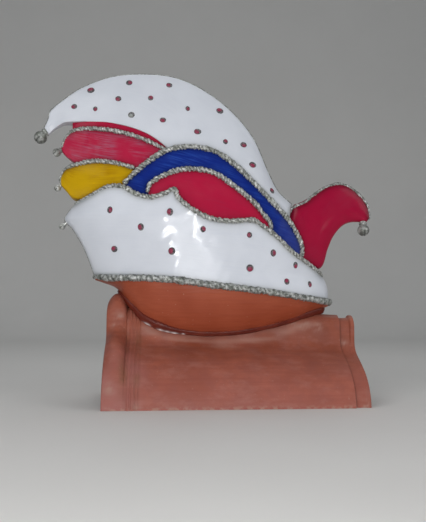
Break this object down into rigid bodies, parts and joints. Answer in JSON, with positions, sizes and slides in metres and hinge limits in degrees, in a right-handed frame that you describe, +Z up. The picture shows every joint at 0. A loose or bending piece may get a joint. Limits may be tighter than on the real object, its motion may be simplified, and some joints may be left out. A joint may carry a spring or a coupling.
{
  "type": "decorative ridge tile",
  "caption": "Clay ridge tile with a rounded crest, collar and spigot, carrying a painted carnival cap with scalloped bands, braids, bells and a curled tail.",
  "frame": {"origin": "On the ground plane z=0 on which the tile's two long edges stand, under the middle of the bounding box.", "axes": "+X runs along the ridge from the collar end to the spigot end, the cap's large front tip being at -X; +Y runs across the ridge; +Z is up."},
  "size_m": [0.528, 0.2244, 0.506],
  "materials": {
    "terracotta": "matte",
    "white_glaze": "gloss",
    "bead_brown": "gloss",
    "crimson_glaze": "gloss",
    "blue_glaze": "gloss",
    "yellow_glaze": "gloss",
    "silver_lustre": "satin",
    "foot_clay": "satin"
  },
  "bodies": {
    "root": {"ridge_tile": "terracotta", "carnival_cap": "white_glaze", "joint_bead": "bead_brown"}
  },
  "joints": []
}
